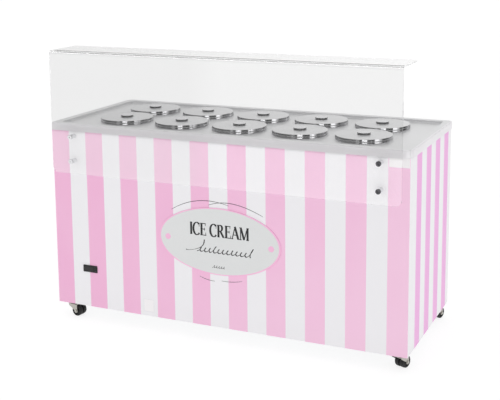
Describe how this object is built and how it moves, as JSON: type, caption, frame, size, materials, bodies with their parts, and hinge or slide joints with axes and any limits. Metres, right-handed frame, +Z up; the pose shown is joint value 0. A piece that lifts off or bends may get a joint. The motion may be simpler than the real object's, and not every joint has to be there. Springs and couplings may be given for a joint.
{
  "type": "ice cream dipping cabinet",
  "caption": "Mobile refrigerated cabinet on casters with rows of round lidded wells and lift-out tubs, striped panels, steel worktop and a bent clear guard.",
  "frame": {"origin": "middle of the footprint, on the floor", "axes": "+X to the right along the width, +Y to the operator's side (rear), +Z up; the guard is at -Y"},
  "size_m": [1.614, 0.7068, 1.204],
  "materials": {
    "striped_panel": "satin",
    "white_panel": "satin",
    "galvanised_steel": "satin",
    "satin_steel": "satin",
    "collar_steel": "polished",
    "lid_steel": "satin",
    "tub_steel": "satin",
    "foam": "matte",
    "copper": "satin",
    "black_paint": "satin",
    "motor_paint": "satin",
    "fin_aluminium": "satin",
    "black_plastic": "matte",
    "pipe_plastic": "satin",
    "display_window": "gloss",
    "button_plastic": "satin",
    "clear_acrylic": "gloss",
    "standoff_steel": "polished",
    "cap_steel": "polished",
    "sign_plate": "satin",
    "zinc": "satin",
    "black_rubber": "matte"
  },
  "bodies": {
    "cabinet": {"base_pan": "galvanised_steel", "base_rails": "galvanised_steel", "corner_posts": "galvanised_steel", "front_panel": "striped_panel", "left_side_panel": "striped_panel", "right_side_panel": "striped_panel", "rear_panel": "white_panel", "machine_cover": "white_panel", "worktop": "satin_steel", "well_collars": "collar_steel", "inner_tank": "satin_steel", "insulation_foam": "foam", "evaporator_coil": "copper", "drain_pipe": "pipe_plastic", "compressor": "black_paint", "condenser": "fin_aluminium", "fan_shroud": "galvanised_steel", "fan_motor": "motor_paint", "refrigerant_pipes": "copper", "power_inlet": "black_plastic", "thermostat_housing": "black_plastic", "thermostat_display": "display_window", "sneeze_guard": "clear_acrylic", "standoff_spacers": "standoff_steel", "standoff_caps": "cap_steel", "oval_sign": "sign_plate", "caster_plates": "zinc", "fasteners": "zinc"},
    "fan_blade": {"fan_blade": "black_plastic"},
    "button_up": {"thermostat_button_up": "button_plastic"},
    "button_set": {"thermostat_button_set": "button_plastic"},
    "button_down": {"thermostat_button_down": "button_plastic"},
    "tub_front_1": {"tub_front_1": "tub_steel"},
    "lid_front_1": {"lid_front_1": "lid_steel"},
    "tub_front_2": {"tub_front_2": "tub_steel"},
    "lid_front_2": {"lid_front_2": "lid_steel"},
    "tub_front_3": {"tub_front_3": "tub_steel"},
    "lid_front_3": {"lid_front_3": "lid_steel"},
    "tub_front_4": {"tub_front_4": "tub_steel"},
    "lid_front_4": {"lid_front_4": "lid_steel"},
    "tub_front_5": {"tub_front_5": "tub_steel"},
    "lid_front_5": {"lid_front_5": "lid_steel"},
    "tub_rear_1": {"tub_rear_1": "tub_steel"},
    "lid_rear_1": {"lid_rear_1": "lid_steel"},
    "tub_rear_2": {"tub_rear_2": "tub_steel"},
    "lid_rear_2": {"lid_rear_2": "lid_steel"},
    "tub_rear_3": {"tub_rear_3": "tub_steel"},
    "lid_rear_3": {"lid_rear_3": "lid_steel"},
    "tub_rear_4": {"tub_rear_4": "tub_steel"},
    "lid_rear_4": {"lid_rear_4": "lid_steel"},
    "tub_rear_5": {"tub_rear_5": "tub_steel"},
    "lid_rear_5": {"lid_rear_5": "lid_steel"},
    "fork_front_left": {"caster_fork_front_left": "zinc"},
    "wheel_front_left": {"caster_wheel_front_left": "black_rubber"},
    "fork_front_right": {"caster_fork_front_right": "zinc"},
    "wheel_front_right": {"caster_wheel_front_right": "black_rubber"},
    "fork_rear_left": {"caster_fork_rear_left": "zinc"},
    "wheel_rear_left": {"caster_wheel_rear_left": "black_rubber"},
    "fork_rear_right": {"caster_fork_rear_right": "zinc"},
    "wheel_rear_right": {"caster_wheel_rear_right": "black_rubber"}
  },
  "joints": [
    {"name": "lid_lift_front_1", "type": "slide", "parent": "tub_front_1", "child": "lid_front_1", "axis": [0, 0, 1], "range_m": [0, 0.03]},
    {"name": "lid_lift_front_2", "type": "slide", "parent": "tub_front_2", "child": "lid_front_2", "axis": [0, 0, 1], "range_m": [0, 0.03]},
    {"name": "lid_lift_front_3", "type": "slide", "parent": "tub_front_3", "child": "lid_front_3", "axis": [0, 0, 1], "range_m": [0, 0.03]},
    {"name": "lid_lift_front_4", "type": "slide", "parent": "tub_front_4", "child": "lid_front_4", "axis": [0, 0, 1], "range_m": [0, 0.03]},
    {"name": "lid_lift_front_5", "type": "slide", "parent": "tub_front_5", "child": "lid_front_5", "axis": [0, 0, 1], "range_m": [0, 0.03]},
    {"name": "lid_lift_rear_1", "type": "slide", "parent": "tub_rear_1", "child": "lid_rear_1", "axis": [0, 0, 1], "range_m": [0, 0.03]},
    {"name": "lid_lift_rear_2", "type": "slide", "parent": "tub_rear_2", "child": "lid_rear_2", "axis": [0, 0, 1], "range_m": [0, 0.03]},
    {"name": "lid_lift_rear_3", "type": "slide", "parent": "tub_rear_3", "child": "lid_rear_3", "axis": [0, 0, 1], "range_m": [0, 0.03]},
    {"name": "lid_lift_rear_4", "type": "slide", "parent": "tub_rear_4", "child": "lid_rear_4", "axis": [0, 0, 1], "range_m": [0, 0.03]},
    {"name": "lid_lift_rear_5", "type": "slide", "parent": "tub_rear_5", "child": "lid_rear_5", "axis": [0, 0, 1], "range_m": [0, 0.03]},
    {"name": "tub_lift_front_1", "type": "slide", "parent": "cabinet", "child": "tub_front_1", "axis": [0, 0, 1], "range_m": [0, 0.245]},
    {"name": "tub_lift_front_2", "type": "slide", "parent": "cabinet", "child": "tub_front_2", "axis": [0, 0, 1], "range_m": [0, 0.245]},
    {"name": "tub_lift_front_3", "type": "slide", "parent": "cabinet", "child": "tub_front_3", "axis": [0, 0, 1], "range_m": [0, 0.245]},
    {"name": "tub_lift_front_4", "type": "slide", "parent": "cabinet", "child": "tub_front_4", "axis": [0, 0, 1], "range_m": [0, 0.245]},
    {"name": "tub_lift_front_5", "type": "slide", "parent": "cabinet", "child": "tub_front_5", "axis": [0, 0, 1], "range_m": [0, 0.245]},
    {"name": "tub_lift_rear_1", "type": "slide", "parent": "cabinet", "child": "tub_rear_1", "axis": [0, 0, 1], "range_m": [0, 0.245]},
    {"name": "tub_lift_rear_2", "type": "slide", "parent": "cabinet", "child": "tub_rear_2", "axis": [0, 0, 1], "range_m": [0, 0.245]},
    {"name": "tub_lift_rear_3", "type": "slide", "parent": "cabinet", "child": "tub_rear_3", "axis": [0, 0, 1], "range_m": [0, 0.245]},
    {"name": "tub_lift_rear_4", "type": "slide", "parent": "cabinet", "child": "tub_rear_4", "axis": [0, 0, 1], "range_m": [0, 0.245]},
    {"name": "tub_lift_rear_5", "type": "slide", "parent": "cabinet", "child": "tub_rear_5", "axis": [0, 0, 1], "range_m": [0, 0.245]},
    {"name": "press_up", "type": "slide", "parent": "cabinet", "child": "button_up", "axis": [0, 1, 0], "range_m": [0, 0.0008], "stiffness_N_per_m": 300},
    {"name": "press_set", "type": "slide", "parent": "cabinet", "child": "button_set", "axis": [0, 1, 0], "range_m": [0, 0.0008], "stiffness_N_per_m": 300},
    {"name": "press_down", "type": "slide", "parent": "cabinet", "child": "button_down", "axis": [0, 1, 0], "range_m": [0, 0.0008], "stiffness_N_per_m": 300},
    {"name": "swivel_front_left", "type": "hinge", "parent": "cabinet", "child": "fork_front_left", "pos_m": [-0.752, -0.265, 0.06], "axis": [0, 0, 1], "continuous": true},
    {"name": "roll_front_left", "type": "hinge", "parent": "fork_front_left", "child": "wheel_front_left", "pos_m": [-0.7252, -0.26829, 0.025], "axis": [0.1219, 0.9925, 0], "continuous": true},
    {"name": "swivel_front_right", "type": "hinge", "parent": "cabinet", "child": "fork_front_right", "pos_m": [0.752, -0.265, 0.06], "axis": [0, 0, 1], "continuous": true},
    {"name": "roll_front_right", "type": "hinge", "parent": "fork_front_right", "child": "wheel_front_right", "pos_m": [0.76123, -0.23963, 0.025], "axis": [-0.9397, 0.342, 0], "continuous": true},
    {"name": "swivel_rear_left", "type": "hinge", "parent": "cabinet", "child": "fork_rear_left", "pos_m": [-0.752, 0.299, 0.06], "axis": [0, 0, 1], "continuous": true},
    {"name": "roll_rear_left", "type": "hinge", "parent": "fork_rear_left", "child": "wheel_rear_left", "pos_m": [-0.7655, 0.27562, 0.025], "axis": [0.866, -0.5, 0], "continuous": true},
    {"name": "swivel_rear_right", "type": "hinge", "parent": "cabinet", "child": "fork_rear_right", "pos_m": [0.752, 0.299, 0.06], "axis": [0, 0, 1], "continuous": true},
    {"name": "roll_rear_right", "type": "hinge", "parent": "fork_rear_right", "child": "wheel_rear_right", "pos_m": [0.76123, 0.32437, 0.025], "axis": [-0.9397, 0.342, 0], "continuous": true},
    {"name": "fan_spin", "type": "hinge", "parent": "cabinet", "child": "fan_blade", "pos_m": [-0.54, 0.246, 0.245], "axis": [0, 1, 0], "continuous": true}
  ]
}
